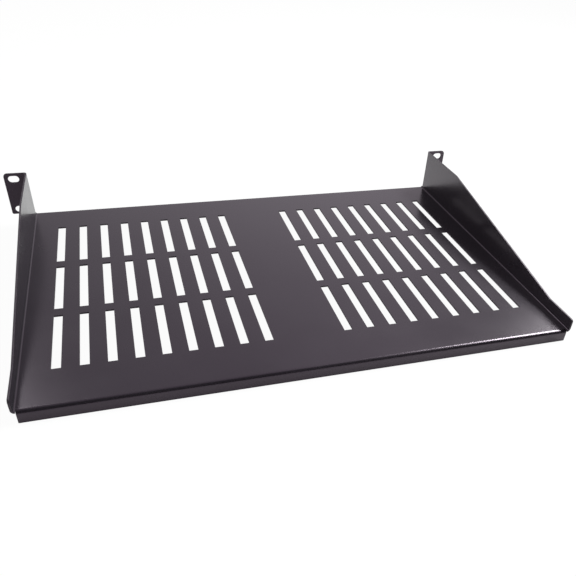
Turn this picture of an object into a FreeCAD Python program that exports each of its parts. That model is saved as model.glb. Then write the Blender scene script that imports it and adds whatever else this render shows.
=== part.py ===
import FreeCAD, Part
import math
import os

# Vented shelf for a 19 inch rack, folded from one sheet of steel.
# X runs across the rack, +Y points out of its front, +Z points up.
# The origin is the centre of the four ear slots, on the ear faces that meet the rack's rails.

# Sheet
sheet = 1.5            # thickness of the steel
bend_radius = 1.5      # inside radius of every fold

# Size across, and the ears
rack_width = 482.6     # end of one ear to the end of the other
ear_width = 20.3       # outside of a wall to the end of its ear
ear_slot_inset = 8.75  # end of the ear to the middle of its slots
ear_slot_pitch = 31.75  # lower slot to upper slot
ear_slot_length = 10.2
ear_slot_width = 6.8
ear_top_end = 6.0      # middle of the upper slot to the ear's upper edge
ear_low_end = 5.0      # middle of the lower slot to the ear's lower edge
ear_top_corner = 3.5   # rounding of the ear's free upper corner
ear_low_corner = 1.5   # rounding of the ear's free lower corner

# Depth, and the lip folded down along the tray's free end
depth = 305.0          # outside of the lip to the front of the ears
lip_height = 10.5      # top of the tray to the lower edge of the lip

# Side walls, seen from the side
level_run = 75.0       # length of the full-height part behind the ears
low_run = 34.0         # length of the low part at the free end
rim_height = 10.5      # top of the tray to the top of the low part
brow_radius = 8.0      # where the full height turns down into the slope
foot_radius = 6.0      # where the slope meets the low part
nose_radius = 2.5      # upper corner of the wall's free end

# Cuts that let neighbouring folds bend without tearing the sheet
relief_width = 0.4
relief_depth = 1.5     # length of the cut past the fold

# Vents, in two fields of equal slots with a plain band between them
columns = 9            # slots across one field
rows = 3               # slots along the depth
vent_width = 7.0
centre_band = 60.0     # plain sheet between the two fields
side_margin = 22.5     # plain sheet between a field and a wall
row_gap = 10.0         # plain sheet between two rows
front_margin = 36.5    # front of the tray to the first row
free_margin = 41.5     # last row to the outside of the lip

# Places that follow from the sizes above
outer_radius = bend_radius + sheet
half_rack = rack_width / 2
half_body = half_rack - ear_width
half_inside = half_body - sheet
wall_top = ear_slot_pitch / 2 + ear_top_end
ear_low = -ear_slot_pitch / 2 - ear_low_end
tray_under = ear_low - outer_radius
tray_top = tray_under + sheet
rim_top = tray_top + rim_height
lip_end = tray_top - lip_height
front_face = sheet
free_face = front_face - depth
ear_fold = front_face - outer_radius
free_fold = free_face + outer_radius
side_fold = half_body - outer_radius
overrun = 1.0          # how far a cutting shape reaches past the sheet


def outline(corners):
    # Flat face through the corners; each corner is a point and the radius that rounds it.
    starts = []
    ends = []
    arcs = []
    for index, (corner, radius) in enumerate(corners):
        to_last = corners[index - 1][0] - corner
        to_next = corners[(index + 1) % len(corners)][0] - corner
        to_last.normalize()
        to_next.normalize()
        half_angle = to_last.getAngle(to_next) / 2
        reach = radius / math.tan(half_angle)
        starts.append(corner + to_last * reach)
        ends.append(corner + to_next * reach)
        if radius > 0:
            middle = to_last + to_next
            middle.normalize()
            crown = corner + middle * (radius / math.sin(half_angle) - radius)
            arcs.append(Part.Arc(starts[-1], crown, ends[-1]).toShape())
        else:
            arcs.append(None)
    edges = []
    for index, arc in enumerate(arcs):
        if arc is not None:
            edges.append(arc)
        following = starts[(index + 1) % len(starts)]
        if ends[index].distanceToPoint(following) > 1e-6:
            edges.append(Part.makeLine(ends[index], following))
    return Part.Face(Part.Wire(edges))


def at(x, y, z):
    return FreeCAD.Vector(x, y, z)


def both_sides(shape):
    # The shape and its mirror image on the other side of the shelf's middle.
    return [shape, shape.mirror(at(0, 0, 0), at(1, 0, 0))]


def block(x, y, z):
    # Cutting block; x, y and z are each a low and a high limit.
    corner = at(x[0], y[0], z[0])
    return Part.makeBox(x[1] - x[0], y[1] - y[0], z[1] - z[0], corner)


def trough():
    # Tray with a wall folded up along each side, cut to the wall's slope.
    corners = [
        (at(-half_body, free_face, wall_top), 0),
        (at(-half_body, free_face, tray_under), outer_radius),
        (at(half_body, free_face, tray_under), outer_radius),
        (at(half_body, free_face, wall_top), 0),
        (at(half_inside, free_face, wall_top), 0),
        (at(half_inside, free_face, tray_top), bend_radius),
        (at(-half_inside, free_face, tray_top), bend_radius),
        (at(-half_inside, free_face, wall_top), 0),
    ]
    body = outline(corners).extrude(at(0, depth, 0))
    return body.common(side_view())


def side_view():
    # Outline of the tray and walls from the side, as thick as the shelf is wide.
    # Above the ears' lower edge the walls stop at the fold of the ears.
    x = -half_body - overrun
    below = tray_under - overrun
    corners = [
        (at(x, free_face, below), 0),
        (at(x, free_face, rim_top), nose_radius),
        (at(x, free_face + low_run, rim_top), foot_radius),
        (at(x, front_face - level_run, wall_top), brow_radius),
        (at(x, ear_fold, wall_top), 0),
        (at(x, ear_fold, ear_low), 0),
        (at(x, front_face, ear_low), 0),
        (at(x, front_face, below), 0),
    ]
    return outline(corners).extrude(at(2 * (half_body + overrun), 0, 0))


def lip():
    # Lip folded down from the tray's free end.
    corners = [
        (at(-side_fold, free_fold, tray_top), 0),
        (at(-side_fold, free_face, tray_top), outer_radius),
        (at(-side_fold, free_face, lip_end), 0),
        (at(-side_fold, free_face + sheet, lip_end), 0),
        (at(-side_fold, free_face + sheet, tray_under), bend_radius),
        (at(-side_fold, free_fold, tray_under), 0),
    ]
    return outline(corners).extrude(at(2 * side_fold, 0, 0))


def lip_bay():
    # Room cut in the tray's free end for the lip and its fold.
    heights = (tray_under - overrun, tray_top + overrun)
    end = side_fold + relief_width
    return block((-end, end), (free_face - overrun, free_fold), heights)


def lip_relief():
    # Round-ended cut between the end of the lip and the wall's fold.
    mouth = free_fold - overrun
    end = free_fold + relief_depth
    below = tray_under - overrun
    round_end = relief_width / 2
    corners = [
        (at(side_fold, mouth, below), 0),
        (at(side_fold + relief_width, mouth, below), 0),
        (at(side_fold + relief_width, end, below), round_end),
        (at(side_fold, end, below), round_end),
    ]
    return outline(corners).extrude(at(0, 0, outer_radius + 2 * overrun))


def ear():
    # Ear folded outwards from the front of the wall, with its free corners rounded.
    corners = [
        (at(half_inside, ear_fold, ear_low), 0),
        (at(half_inside, front_face, ear_low), outer_radius),
        (at(half_rack, front_face, ear_low), 0),
        (at(half_rack, 0, ear_low), 0),
        (at(half_body, 0, ear_low), bend_radius),
        (at(half_body, ear_fold, ear_low), 0),
    ]
    folded = outline(corners).extrude(at(0, 0, wall_top - ear_low))
    inner = half_inside - overrun
    start = ear_fold - overrun
    corners = [
        (at(inner, start, ear_low), 0),
        (at(half_rack, start, ear_low), ear_low_corner),
        (at(half_rack, start, wall_top), ear_top_corner),
        (at(inner, start, wall_top), 0),
    ]
    front_view = outline(corners).extrude(at(0, outer_radius + 2 * overrun, 0))
    return folded.common(front_view)


def ear_slot(height):
    # Round-ended slot across the ear, at the given height.
    middle = half_rack - ear_slot_inset
    round_end = ear_slot_width / 2
    left = middle - ear_slot_length / 2
    right = middle + ear_slot_length / 2
    corners = [
        (at(left, -overrun, height - round_end), round_end),
        (at(right, -overrun, height - round_end), round_end),
        (at(right, -overrun, height + round_end), round_end),
        (at(left, -overrun, height + round_end), round_end),
    ]
    return outline(corners).extrude(at(0, sheet + 2 * overrun, 0))


def ear_relief():
    # Cut under the ear, from the front of the tray to just past the fold of the ear.
    widths = (half_inside - overrun, half_body + overrun)
    lengths = (ear_fold - relief_depth, front_face + overrun)
    return block(widths, lengths, (ear_low - relief_width, ear_low))


def vents():
    # Every vent slot of both fields.
    field_width = half_inside - side_margin - centre_band / 2
    column_pitch = (field_width - vent_width) / (columns - 1)
    vent_run = depth - front_margin - free_margin
    vent_length = (vent_run - (rows - 1) * row_gap) / rows
    heights = (tray_under - overrun, tray_top + overrun)
    cuts = []
    for column in range(columns):
        left = centre_band / 2 + column * column_pitch
        for row in range(rows):
            near = free_face + free_margin + row * (vent_length + row_gap)
            slot = block((left, left + vent_width), (near, near + vent_length), heights)
            cuts.extend(both_sides(slot))
    return cuts


def vented_shelf():
    # The whole folded sheet.
    body = trough().cut(lip_bay())
    body = body.fuse([lip()] + both_sides(ear())).removeSplitter()
    cuts = vents()
    cuts.extend(both_sides(lip_relief()))
    cuts.extend(both_sides(ear_relief()))
    for height in (-ear_slot_pitch / 2, ear_slot_pitch / 2):
        cuts.extend(both_sides(ear_slot(height)))
    return body.cut(cuts)


os.makedirs("parts", exist_ok=True)
shelf = vented_shelf()
print("solids:", len(shelf.Solids), "valid:", shelf.isValid())
print("volume in cubic centimetres:", round(shelf.Volume / 1000, 2))
shelf.exportStep("parts/vented_shelf.step")
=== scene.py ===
import math

import bmesh
import bpy
from mathutils import Matrix, Vector


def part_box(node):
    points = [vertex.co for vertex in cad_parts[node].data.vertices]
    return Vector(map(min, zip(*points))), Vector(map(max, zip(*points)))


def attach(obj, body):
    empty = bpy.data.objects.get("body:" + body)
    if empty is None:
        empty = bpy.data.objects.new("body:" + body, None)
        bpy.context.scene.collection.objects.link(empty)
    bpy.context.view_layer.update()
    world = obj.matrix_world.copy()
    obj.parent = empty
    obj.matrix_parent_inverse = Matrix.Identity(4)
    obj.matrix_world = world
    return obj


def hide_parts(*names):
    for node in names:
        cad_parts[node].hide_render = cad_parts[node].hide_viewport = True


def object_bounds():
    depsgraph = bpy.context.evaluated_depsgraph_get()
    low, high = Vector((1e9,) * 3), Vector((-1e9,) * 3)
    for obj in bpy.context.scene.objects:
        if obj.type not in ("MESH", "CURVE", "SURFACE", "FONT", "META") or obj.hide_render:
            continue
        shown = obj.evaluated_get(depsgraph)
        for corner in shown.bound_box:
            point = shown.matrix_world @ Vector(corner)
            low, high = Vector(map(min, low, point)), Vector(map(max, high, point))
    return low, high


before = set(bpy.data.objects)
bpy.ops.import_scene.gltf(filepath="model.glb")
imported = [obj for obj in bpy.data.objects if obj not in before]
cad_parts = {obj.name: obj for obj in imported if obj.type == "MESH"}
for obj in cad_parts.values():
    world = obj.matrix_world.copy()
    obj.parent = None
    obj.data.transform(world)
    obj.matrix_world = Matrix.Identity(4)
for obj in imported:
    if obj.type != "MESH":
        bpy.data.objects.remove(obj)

# Vented shelf for an equipment rack, folded from one sheet and powder coated in satin black.
# X runs across the rack, +Y points out of its front where the two ears are, and Z points up.

mm = 0.001
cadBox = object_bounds()


# Camera, where the photograph was taken from

viewpoint = {
    "place": (-128.0, -645.4, 277.1),   # mm
    "turn": 19.68,                      # degrees to the right of +Y
    "tilt": 37.32,                      # degrees down
    "roll": -4.43,                      # degrees
    "lens": 38.63,                      # mm
    "sensor": 36.0,                     # mm
    "shift": (-0.0553, 0.0970),         # share of the picture's width
    "nearest": 10.0,                    # mm, nothing nearer is drawn
}


def placeCamera():
    turn, tilt, roll = (math.radians(viewpoint[name]) for name in ("turn", "tilt", "roll"))
    ahead = Vector((
        math.sin(turn) * math.cos(tilt),
        math.cos(turn) * math.cos(tilt),
        -math.sin(tilt),
    ))
    level = Vector((math.cos(turn), -math.sin(turn), 0))
    down = ahead.cross(level)
    right = level * math.cos(roll) + down * math.sin(roll)
    below = down * math.cos(roll) - level * math.sin(roll)
    data = bpy.data.cameras.new("photoCamera")
    data.lens = viewpoint["lens"]
    data.sensor_width = viewpoint["sensor"]
    data.shift_x, data.shift_y = viewpoint["shift"]
    data.clip_start = viewpoint["nearest"] * mm
    camera = bpy.data.objects.new("photoCamera", data)
    turned = Matrix((right, -below, -ahead)).transposed().to_4x4()
    camera.matrix_world = Matrix.Translation(Vector(viewpoint["place"]) * mm) @ turned
    bpy.context.scene.collection.objects.link(camera)
    bpy.context.scene.camera = camera


placeCamera()
print("camera placed")


# Paint

satinBlack = {
    "darkest": (0.0072, 0.0064, 0.0085),
    "palest": (0.0100, 0.0090, 0.0115),
    "roughness": (0.23, 0.28),
    "patchSize": 60.0,               # mm, slow drift of colour and gloss
    "patchDetail": 3,
    "tint": (1.0, 0.78, 0.99),       # cast of what the coat mirrors
    "ior": 1.5,
    "relief": (                      # size in mm, detail, and depth in mm
        (0.45, 2, 0.0008),           # cured powder grain
        (2.6, 1, 0.0012),            # long low waves in the coat
    ),
}

rubbedEdge = {
    "coatRoughness": (0.52, 0.58),   # the coat is thin on an edge and cures duller
    "worn": (0.024, 0.022, 0.024),
    "wornRoughness": 0.6,
    "wornSize": 9.0,                 # mm, length of a worn stretch
    "wornDetail": 4,
    "wornFrom": 0.5075,              # value of the noise where wear begins
    "wornFade": 0.12,                # rise of the noise from whole coat to worn
}

usualNoise = (0.3, 0.7)              # nearly all values of a noise lie between these


def newMaterial(name):
    material = bpy.data.materials.new(name)
    material.use_nodes = True
    material.node_tree.nodes.clear()
    return material, material.node_tree.nodes, material.node_tree.links


def noise(nodes, links, place, size, detail):
    node = nodes.new("ShaderNodeTexNoise")
    node.inputs["Scale"].default_value = 1 / (size * mm)
    node.inputs["Detail"].default_value = detail
    links.new(place.outputs["Object"], node.inputs["Vector"])
    return node.outputs["Fac"]


def spread(nodes, links, source, low, high, span=usualNoise):
    # Stretches or squeezes the source, so that its span runs from low to high.
    node = nodes.new("ShaderNodeMapRange")
    node.inputs["From Min"].default_value = span[0]
    node.inputs["From Max"].default_value = span[1]
    node.inputs["To Min"].default_value = low
    node.inputs["To Max"].default_value = high
    links.new(source, node.inputs["Value"])
    return node.outputs["Result"]


def mixColour(nodes, links, share, first, second):
    # Each colour is written out or comes from another node.
    node = nodes.new("ShaderNodeMix")
    node.data_type = "RGBA"
    links.new(share, node.inputs["Factor"])
    for socket, colour in ((node.inputs["A"], first), (node.inputs["B"], second)):
        if isinstance(colour, tuple):
            socket.default_value = (*colour, 1)
        else:
            links.new(colour, socket)
    return node.outputs["Result"]


def mixNumber(nodes, links, share, source, number):
    node = nodes.new("ShaderNodeMix")
    node.data_type = "FLOAT"
    links.new(share, node.inputs["Factor"])
    links.new(source, node.inputs["A"])
    node.inputs["B"].default_value = number
    return node.outputs["Result"]


def relief(nodes, links, height, depth, under):
    # Bump of a noise, over the relief under it where there is one.
    node = nodes.new("ShaderNodeBump")
    node.inputs["Distance"].default_value = depth * mm
    links.new(height, node.inputs["Height"])
    if under is not None:
        links.new(under, node.inputs["Normal"])
    return node.outputs["Normal"]


def makePaint(name, worn):
    # Cured black powder; worn gives an edge its duller coat and rubbed stretches.
    material, nodes, links = newMaterial(name)
    place = nodes.new("ShaderNodeTexCoord")
    surface = nodes.new("ShaderNodeBsdfPrincipled")
    output = nodes.new("ShaderNodeOutputMaterial")
    links.new(surface.outputs["BSDF"], output.inputs["Surface"])
    surface.inputs["IOR"].default_value = satinBlack["ior"]
    surface.inputs["Specular Tint"].default_value = (*satinBlack["tint"], 1)

    patches = noise(nodes, links, place, satinBlack["patchSize"], satinBlack["patchDetail"])
    share = spread(nodes, links, patches, 0, 1)
    colour = mixColour(nodes, links, share, satinBlack["darkest"], satinBlack["palest"])
    gloss = rubbedEdge["coatRoughness"] if worn else satinBlack["roughness"]
    roughness = spread(nodes, links, patches, *gloss)
    if worn:
        stretches = noise(nodes, links, place, rubbedEdge["wornSize"], rubbedEdge["wornDetail"])
        fade = (rubbedEdge["wornFrom"], rubbedEdge["wornFrom"] + rubbedEdge["wornFade"])
        rubbed = spread(nodes, links, stretches, 0, 1, fade)
        colour = mixColour(nodes, links, rubbed, colour, rubbedEdge["worn"])
        roughness = mixNumber(nodes, links, rubbed, roughness, rubbedEdge["wornRoughness"])
    links.new(colour, surface.inputs["Base Color"])
    links.new(roughness, surface.inputs["Roughness"])

    normal = None
    for size, detail, depth in satinBlack["relief"]:
        normal = relief(nodes, links, noise(nodes, links, place, size, detail), depth, normal)
    links.new(normal, surface.inputs["Normal"])
    return material


powderCoat = makePaint("satinBlackPowder", worn=False)
edgeCoat = makePaint("rubbedEdgePowder", worn=True)
coats = (powderCoat, edgeCoat)       # the shelf's material slots, in order
print("paint mixed")


# Folded sheet. Sizes in millimetres; those of the whole shelf come from the loaded frame.

sheet = {
    "thickness": 1.5,
    "insideBend": 1.5,       # inside radius of every fold
    "foldSteps": 9,          # facets round each fold
    "earWidth": 20.3,        # outside of a wall to the end of its ear
    "earTopEnd": 6.0,        # middle of the upper slot to the ear's upper edge
    "earLowEnd": 5.0,        # middle of the lower slot to the ear's lower edge
    "earTopCorner": 3.5,     # rounding of the ear's free corners
    "earLowCorner": 1.5,
    "slotInset": 8.75,       # end of an ear to the middle of its slots
    "slotLength": 10.2,
    "slotWidth": 6.8,
    "lipHeight": 10.5,       # top of the tray to the lower edge of the lip
    "levelRun": 75.0,        # full-height part of a wall, behind its ear
    "lowRun": 34.0,          # low part of a wall, at the free end
    "rimHeight": 10.5,       # top of the tray to the top of that low part
    "browRadius": 8.0,       # where the full height turns down into the slope
    "footRadius": 6.0,       # where the slope meets the low part
    "noseRadius": 2.5,       # upper corner of a wall's free end
    "arcSteps": 7,           # facets in a quarter circle of an outline
    "fewestSteps": 2,        # facets in the shortest arc
    "cutDepth": 1.5,         # length past a fold of the cuts that keep folds apart
    "lipCutTurn": 4.0,       # degrees round the wall's fold that the cut beside the lip takes
    "earCutTurn": 80.0,      # degrees round the wall's fold where the cut under the ear starts
    "sameTo": 3,             # decimals; points of two patches that agree to them are one
    "edgeRounding": 0.15,    # how far the paint rounds a cut edge
    "edgeSegments": 2,       # facets across that rounding
    "cutEdgeTurn": 50.0,     # degrees between two faces, above which their edge is a cut one
}

vents = {                    # two fields of equal slots
    "columns": 9,
    "rows": 3,
    "width": 7.0,
    "centreBand": 60.0,      # plain sheet between the two fields
    "sideMargin": 22.5,      # plain sheet between a field and a wall
    "rowGap": 10.0,
    "frontMargin": 36.5,     # front of the tray to the first row
    "freeMargin": 41.5,      # last row to the outside of the lip
}


# Faces, folds and cuts that follow from these sizes

boxLow, boxHigh = (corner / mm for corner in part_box("vented_shelf"))
outsideBend = sheet["insideBend"] + sheet["thickness"]

halfRack = boxHigh.x
halfInside = halfRack - sheet["earWidth"] - sheet["thickness"]
sideFold = halfInside - sheet["insideBend"]
earStart = halfInside + outsideBend

frontFace, freeFace = boxHigh.y, boxLow.y
earFold, freeFold = frontFace - outsideBend, freeFace + outsideBend
earCut, lipCut = earFold - sheet["cutDepth"], freeFold + sheet["cutDepth"]

wallTop, lipEnd = boxHigh.z, boxLow.z
trayTop = lipEnd + sheet["lipHeight"]
wallStart = trayTop + sheet["insideBend"]
lowSlot, topSlot = wallStart + sheet["earLowEnd"], wallTop - sheet["earTopEnd"]


def ventSpans():
    # Where the slots lie across the right field, and along both fields.
    field = halfInside - vents["sideMargin"] - vents["centreBand"] / 2
    pitch = (field - vents["width"]) / (vents["columns"] - 1)
    run = frontFace - freeFace - vents["frontMargin"] - vents["freeMargin"]
    length = (run - (vents["rows"] - 1) * vents["rowGap"]) / vents["rows"]
    across = []
    for column in range(vents["columns"]):
        left = vents["centreBand"] / 2 + column * pitch
        across.append((left, left + vents["width"]))
    along = []
    for row in range(vents["rows"]):
        near = freeFace + vents["freeMargin"] + row * (length + vents["rowGap"])
        along.append((near, near + length))
    return across, along


# Lines that divide the sheet into faces, the same for patches that meet. Turns are in degrees.

ventsAcross, ventsAlong = ventSpans()
rightLines = [x for span in ventsAcross for x in span] + [sideFold]
acrossLines = sorted([-x for x in rightLines] + rightLines)
ventLines = [y for span in ventsAlong for y in span]
alongLines = sorted([freeFold, lipCut, earCut, frontFace] + ventLines)
sideLines = [freeFace] + alongLines
earLines = [wallStart, lowSlot, topSlot, wallTop]
foldTurns = [90 * step / sheet["foldSteps"] for step in range(sheet["foldSteps"] + 1)]


def cells(firstLines, secondLines, keep=None):
    # Rectangles between two sets of lines, without those whose middle keep refuses.
    found = []
    for a, nextA in zip(firstLines, firstLines[1:]):
        for b, nextB in zip(secondLines, secondLines[1:]):
            if keep is None or keep((a + nextA) / 2, (b + nextB) / 2):
                found.append([(a, b), (nextA, b), (nextA, nextB), (a, nextB)])
    return found


def arc(centre, radius, start, end):
    # Points of an arc, from one direction to another in degrees.
    steps = max(sheet["fewestSteps"], round(sheet["arcSteps"] * abs(end - start) / 90))
    turns = [math.radians(start + (end - start) * step / steps) for step in range(steps + 1)]
    return [(centre[0] + radius * math.cos(t), centre[1] + radius * math.sin(t)) for t in turns]


def roundedCorner(last, corner, following, radius):
    # Points of the arc that rounds one corner of an outline.
    last, corner, following = Vector(last), Vector(corner), Vector(following)
    toLast = (last - corner).normalized()
    toNext = (following - corner).normalized()
    halfAngle = toLast.angle(toNext) / 2
    centre = corner + (toLast + toNext).normalized() * (radius / math.sin(halfAngle))
    reach = radius / math.tan(halfAngle)
    start = corner + toLast * reach - centre
    end = corner + toNext * reach - centre
    turn = math.degrees(math.atan2(start.y, start.x))
    sweep = math.degrees(math.atan2(start.x * end.y - start.y * end.x, start.dot(end)))
    return arc(centre, radius, turn, turn + sweep)


def newSkin():
    # Empty upper skin of the sheet, the places under its points, and what adds to both.
    skin = bmesh.new()
    known, underside = {}, {}

    def addPatch(polygons, place):
        # place(a, b, through) is a point of the sheet; through is 0 on its upper skin
        # and 1 on its lower one.
        for polygon in polygons:
            corners = []
            for a, b in polygon:
                upper = Vector(place(a, b, 0))
                key = tuple(round(value, sheet["sameTo"]) for value in upper)
                if key not in known:
                    known[key] = skin.verts.new(upper * mm)
                    underside[known[key]] = Vector(place(a, b, 1)) * mm
                corners.append(known[key])
            skin.faces.new(corners)

    return skin, underside, addPatch


def foldTray(addPatch):
    # Tray, with its vents left open.
    def isSheet(x, y):
        inColumn = any(left < abs(x) < right for left, right in ventsAcross)
        return not (inColumn and any(near < y < far for near, far in ventsAlong))

    def facePoint(x, y, through):
        return x, y, trayTop - through * sheet["thickness"]

    addPatch(cells(acrossLines, alongLines, isSheet), facePoint)


def foldLip(addPatch):
    # Lip, folded down from the tray's free end.
    foldCentre = trayTop - outsideBend

    def foldPoint(turn, x, through):
        radius, turn = outsideBend - through * sheet["thickness"], math.radians(turn)
        return x, freeFold - radius * math.sin(turn), foldCentre + radius * math.cos(turn)

    def facePoint(x, z, through):
        return x, freeFace + through * sheet["thickness"], z

    addPatch(cells(foldTurns, acrossLines), foldPoint)
    addPatch(cells(acrossLines, [lipEnd, foldCentre]), facePoint)


def wallOutline():
    # Flat part of a wall, seen from the side.
    rimTop = trayTop + sheet["rimHeight"]
    brow = (frontFace - sheet["levelRun"], wallTop)
    foot = (freeFace + sheet["lowRun"], rimTop)
    nose = (freeFace, rimTop)
    return (
        [(y, wallStart) for y in sideLines if y <= earCut]
        + [(earFold, z) for z in earLines]
        + roundedCorner((earFold, wallTop), brow, foot, sheet["browRadius"])
        + roundedCorner(brow, foot, nose, sheet["footRadius"])
        + roundedCorner(foot, nose, (freeFace, wallStart), sheet["noseRadius"])
    )


def foldWall(addPatch, side):
    # Wall of one side, folded up; its fold is cut away beside the lip and under the ear.
    turns = sorted({*foldTurns, sheet["lipCutTurn"], sheet["earCutTurn"]})

    def isFold(turn, y):
        besideLip = turn < sheet["lipCutTurn"] and y < lipCut
        underEar = turn > sheet["earCutTurn"] and y > earCut
        return not besideLip and not underEar

    def foldPoint(turn, y, through):
        radius, turn = sheet["insideBend"] + through * sheet["thickness"], math.radians(turn)
        return side * (sideFold + radius * math.sin(turn)), y, wallStart - radius * math.cos(turn)

    def facePoint(y, z, through):
        return side * (halfInside + through * sheet["thickness"]), y, z

    addPatch(cells(turns, sideLines, isFold), foldPoint)
    addPatch([wallOutline()], facePoint)


def earBands():
    # Flat part of the right ear, in three bands that meet at the middles of its slots.
    middle = halfRack - sheet["slotInset"]
    slotEnd = sheet["slotWidth"] / 2
    right = middle + sheet["slotLength"] / 2 - slotEnd
    left = middle - sheet["slotLength"] / 2 + slotEnd

    def below(z):
        return arc((right, z), slotEnd, 0, -90) + arc((left, z), slotEnd, -90, -180)

    def above(z):
        return arc((left, z), slotEnd, 180, 90) + arc((right, z), slotEnd, 90, 0)

    def inner(z):
        return (earStart, z)

    def outer(z):
        return (halfRack, z)

    low = roundedCorner(inner(wallStart), outer(wallStart), outer(lowSlot), sheet["earLowCorner"])
    top = roundedCorner(outer(topSlot), outer(wallTop), inner(wallTop), sheet["earTopCorner"])
    return [
        [inner(wallStart), *low, outer(lowSlot), *below(lowSlot), inner(lowSlot)],
        [
            inner(lowSlot), *above(lowSlot), outer(lowSlot),
            outer(topSlot), *below(topSlot), inner(topSlot),
        ],
        [inner(topSlot), *above(topSlot), outer(topSlot), *top, inner(wallTop)],
    ]


def foldEar(addPatch, side):
    # Ear of one side, folded outwards from the front of its wall.
    def foldPoint(turn, z, through):
        radius, turn = outsideBend - through * sheet["thickness"], math.radians(turn)
        return side * (earStart - radius * math.cos(turn)), earFold + radius * math.sin(turn), z

    def facePoint(x, z, through):
        return side * x, frontFace - through * sheet["thickness"], z

    addPatch(cells(foldTurns, earLines), foldPoint)
    addPatch(earBands(), facePoint)


def closeSheet(skin, underside):
    # Lower skin, and the cut edges between it and the upper one.
    border = [edge for edge in skin.edges if len(edge.link_faces) == 1]
    upperFaces = list(skin.faces)
    below = {vertex: skin.verts.new(place) for vertex, place in underside.items()}
    for face in upperFaces:
        skin.faces.new([below[vertex] for vertex in reversed(face.verts)])
    for edge in border:
        first, second = edge.verts
        cutEdge = skin.faces.new([first, second, below[second], below[first]])
        cutEdge.material_index = coats.index(edgeCoat)
    bmesh.ops.recalc_face_normals(skin, faces=skin.faces)
    for face in skin.faces:
        face.smooth = True


def roundEdges(shelf):
    # Rounds the cut edges as the paint does, and keeps the flat faces flat.
    rounding = shelf.modifiers.new("paintedEdges", "BEVEL")
    rounding.width = sheet["edgeRounding"] * mm
    rounding.segments = sheet["edgeSegments"]
    rounding.limit_method = "ANGLE"
    rounding.angle_limit = math.radians(sheet["cutEdgeTurn"])
    rounding.use_clamp_overlap = False
    rounding.material = coats.index(edgeCoat)
    flats = shelf.modifiers.new("flatFaces", "WEIGHTED_NORMAL")
    flats.keep_sharp = True


def makeFoldedShelf():
    skin, underside, addPatch = newSkin()
    foldTray(addPatch)
    foldLip(addPatch)
    for side in (1, -1):
        foldWall(addPatch, side)
        foldEar(addPatch, side)
    closeSheet(skin, underside)
    print("open edges:", sum(not edge.is_manifold for edge in skin.edges))

    mesh = bpy.data.meshes.new("foldedShelf")
    skin.to_mesh(mesh)
    skin.free()
    for coat in coats:
        mesh.materials.append(coat)
    shelf = bpy.data.objects.new("foldedShelf", mesh)
    bpy.context.scene.collection.objects.link(shelf)
    roundEdges(shelf)
    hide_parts("vented_shelf")
    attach(shelf, "root")
    return shelf


foldedShelf = makeFoldedShelf()
print("shelf folded:", len(foldedShelf.data.polygons), "faces")


# Floor and surroundings

studio = {
    "floorSize": 8.0,                # metres
    "floorColour": (0.86, 0.86, 0.86),
    "floorGlow": 0.96,               # share of the floor's white that no shadow takes
    "mirroredGlow": 0.6,             # the same share where the paint mirrors the floor
    "backdropColour": (1.0, 1.0, 1.0),
    "backdropStrength": 0.985,       # seen by the camera alone
    "skyColour": (1.0, 0.94, 1.0),

    # The sky's strength is the product of three profiles, each given as stops of place and strength:
    # up from the horizon at 0, from -Y at -1 to +Y at 1, and from left at -1 to right at 1.
    "skyUp": ((0.0, 0.4), (0.12, 0.45), (0.34, 1.06), (0.45, 1.0), (0.60, 0.93), (1.0, 0.93)),
    "skyAhead": ((-1.0, 0.22), (-0.3, 0.22), (0.1, 1.0), (1.0, 1.0)),
    "skyAcross": (
        (-1.0, 0.5), (-0.42, 0.75), (-0.25, 0.56), (-0.1, 0.68), (0.0, 0.82),
        (0.15, 0.94), (0.3, 1.09), (0.42, 1.03), (0.52, 0.55), (1.0, 0.5),
    ),
}


def calculate(nodes, links, operation, *sources):
    # Each source is a number or comes from another node.
    node = nodes.new("ShaderNodeMath")
    node.operation = operation
    for socket, source in zip(node.inputs, sources):
        if isinstance(source, (int, float)):
            socket.default_value = source
        else:
            links.new(source, socket)
    return node.outputs["Value"]


def makeFloorWhite():
    # Matt white, which glows in the camera's own view and where the paint mirrors it.
    material, nodes, links = newMaterial("paleFloor")
    ray = nodes.new("ShaderNodeLightPath")
    camera, through = ray.outputs["Is Camera Ray"], ray.outputs["Is Transmission Ray"]
    glossy = ray.outputs["Is Glossy Ray"]
    direct = calculate(nodes, links, "MAXIMUM", camera, through)
    mirrored = calculate(nodes, links, "MULTIPLY", glossy, studio["mirroredGlow"])
    share = calculate(nodes, links, "MULTIPLY_ADD", direct, studio["floorGlow"], mirrored)
    matt = nodes.new("ShaderNodeBsdfDiffuse")
    matt.inputs["Color"].default_value = (*studio["floorColour"], 1)
    glow = nodes.new("ShaderNodeEmission")
    mix = nodes.new("ShaderNodeMixShader")
    links.new(share, mix.inputs["Fac"])
    links.new(matt.outputs["BSDF"], mix.inputs[1])
    links.new(glow.outputs["Emission"], mix.inputs[2])
    output = nodes.new("ShaderNodeOutputMaterial")
    links.new(mix.outputs["Shader"], output.inputs["Surface"])
    return material


def makeFloor():
    height = cadBox[0].z
    half = studio["floorSize"] / 2
    corners = [
        (-half, -half, height), (half, -half, height),
        (half, half, height), (-half, half, height),
    ]
    mesh = bpy.data.meshes.new("floor")
    mesh.from_pydata(corners, [], [(0, 1, 2, 3)])
    mesh.materials.append(makeFloorWhite())
    floor = bpy.data.objects.new("floor", mesh)
    bpy.context.scene.collection.objects.link(floor)


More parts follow.
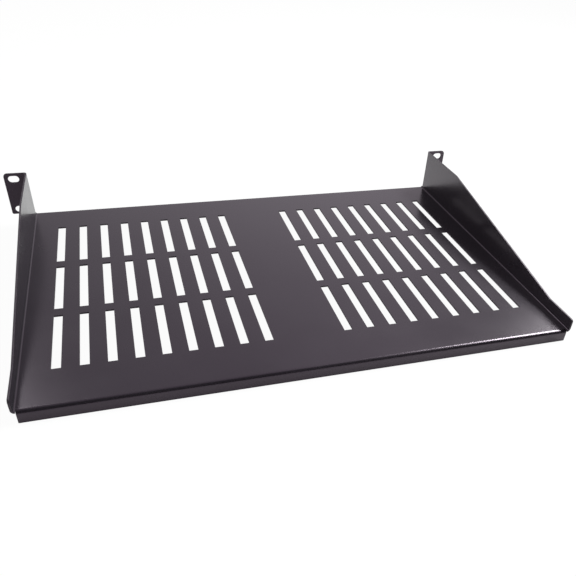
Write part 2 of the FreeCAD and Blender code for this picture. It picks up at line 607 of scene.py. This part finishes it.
def profile(nodes, links, source, stops):
    # Strength of the sky along one direction, straight between its stops.
    start, end = stops[0][0], stops[-1][0]
    ramp = nodes.new("ShaderNodeValToRGB")
    links.new(spread(nodes, links, source, 0, 1, (start, end)), ramp.inputs["Fac"])
    elements = ramp.color_ramp.elements
    given = len(elements)            # a new ramp has its two ends
    for index, (place, strength) in enumerate(stops):
        share = (place - start) / (end - start)
        element = elements[index] if index < given else elements.new(share)
        element.position = share
        element.color = (strength, strength, strength, 1)
    return ramp.outputs["Color"]


def makeSurroundings():
    # Soft sky for the paint, and a plain white backdrop for the camera.
    world = bpy.data.worlds.new("studio")
    world.use_nodes = True
    bpy.context.scene.world = world
    nodes, links = world.node_tree.nodes, world.node_tree.links
    nodes.clear()
    place = nodes.new("ShaderNodeTexCoord")
    parts = nodes.new("ShaderNodeSeparateXYZ")
    links.new(place.outputs["Generated"], parts.inputs["Vector"])
    strength = profile(nodes, links, parts.outputs["Z"], studio["skyUp"])
    for side, stops in (("X", studio["skyAcross"]), ("Y", studio["skyAhead"])):
        along = profile(nodes, links, parts.outputs[side], stops)
        strength = calculate(nodes, links, "MULTIPLY", strength, along)
    sky = nodes.new("ShaderNodeBackground")
    sky.inputs["Color"].default_value = (*studio["skyColour"], 1)
    links.new(strength, sky.inputs["Strength"])
    backdrop = nodes.new("ShaderNodeBackground")
    backdrop.inputs["Color"].default_value = (*studio["backdropColour"], 1)
    backdrop.inputs["Strength"].default_value = studio["backdropStrength"]
    ray = nodes.new("ShaderNodeLightPath")
    mix = nodes.new("ShaderNodeMixShader")
    links.new(ray.outputs["Is Camera Ray"], mix.inputs["Fac"])
    links.new(sky.outputs["Background"], mix.inputs[1])
    links.new(backdrop.outputs["Background"], mix.inputs[2])
    output = nodes.new("ShaderNodeOutputWorld")
    links.new(mix.outputs["Shader"], output.inputs["Surface"])


lampColour = (0.93, 1.0, 0.94)       # evens out the coat's own tint in the highlights

softboxes = {                        # place, aim and size in metres, power in watts
    "rightSoftbox": {
        "place": (0.99, -0.02, 1.00),
        "aim": (0.1, -0.1, 0),
        "size": (0.78, 0.28),
        "power": 33,
    },
    "cornerStrip": {
        "place": (1.06, 0.375, 0.92),
        "aim": (0.2, -0.28, 0),
        "size": (0.12, 0.85),
        "power": 12,
    },
    "leftSoftbox": {
        "place": (-0.65, 0.66, 0.92),
        "aim": (-0.1, -0.2, 0),
        "size": (0.35, 0.35),
        "power": 2.6,
    },
}


def hangSoftboxes():
    for name, box in softboxes.items():
        data = bpy.data.lights.new(name, "AREA")
        data.shape = "RECTANGLE"
        data.size, data.size_y = box["size"]
        data.energy = box["power"]
        data.color = lampColour
        light = bpy.data.objects.new(name, data)
        light.location = box["place"]
        toAim = Vector(box["aim"]) - Vector(box["place"])
        light.rotation_mode = "QUATERNION"
        light.rotation_quaternion = toAim.to_track_quat("-Z", "Y")
        bpy.context.scene.collection.objects.link(light)


makeFloor()
makeSurroundings()
hangSoftboxes()
bpy.context.scene.view_settings.view_transform = "Standard"
print("studio lit")
